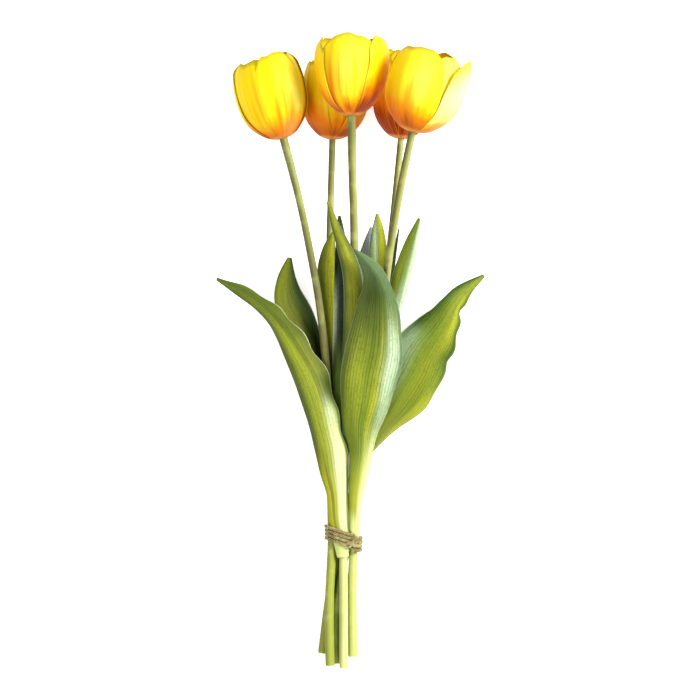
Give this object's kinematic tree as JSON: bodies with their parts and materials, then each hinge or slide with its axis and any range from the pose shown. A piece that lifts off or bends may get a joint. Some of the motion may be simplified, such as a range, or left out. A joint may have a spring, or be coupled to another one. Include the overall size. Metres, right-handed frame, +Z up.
{
  "type": "bunch of cut tulips",
  "caption": "Cut tulips with yellow cup blooms and broad wavy leaves, tied round the stems with twine and laid on their back.",
  "frame": {"origin": "middle of the bunch's box, on the surface that it lies on", "axes": "+Y along the stems from the cut ends to the blooms, +Z up from the surface, +X to the right seen from above with the blooms away from the viewer"},
  "size_m": [0.1873, 0.4385, 0.1128],
  "materials": {
    "petal": "silky yellow petals with orange and red at the foot",
    "stem": "smooth olive-green stem",
    "leaf": "waxy green leaf with fine parallel veins",
    "heart": "matt green pistil and yellow-brown anthers",
    "tie": "dry tan twine, brown in its folds"
  },
  "bodies": {
    "root": {"stem_1": "stem", "stem_2": "stem", "stem_3": "stem", "stem_4": "stem", "stem_5": "stem", "leaf_front_left": "leaf", "leaf_back_left": "leaf", "leaf_mid_left": "leaf", "leaf_centre": "leaf", "leaf_front": "leaf", "leaf_behind_centre": "leaf", "leaf_back_centre": "leaf", "leaf_right_centre": "leaf", "leaf_right_thin": "leaf", "leaf_upper_right": "leaf", "leaf_right": "leaf", "bloom_1": "petal", "bloom_2": "petal", "bloom_3": "petal", "bloom_4": "petal", "bloom_5": "petal", "heart_1": "heart", "heart_2": "heart", "heart_3": "heart", "heart_4": "heart", "heart_5": "heart", "tie": "tie"}
  },
  "joints": []
}
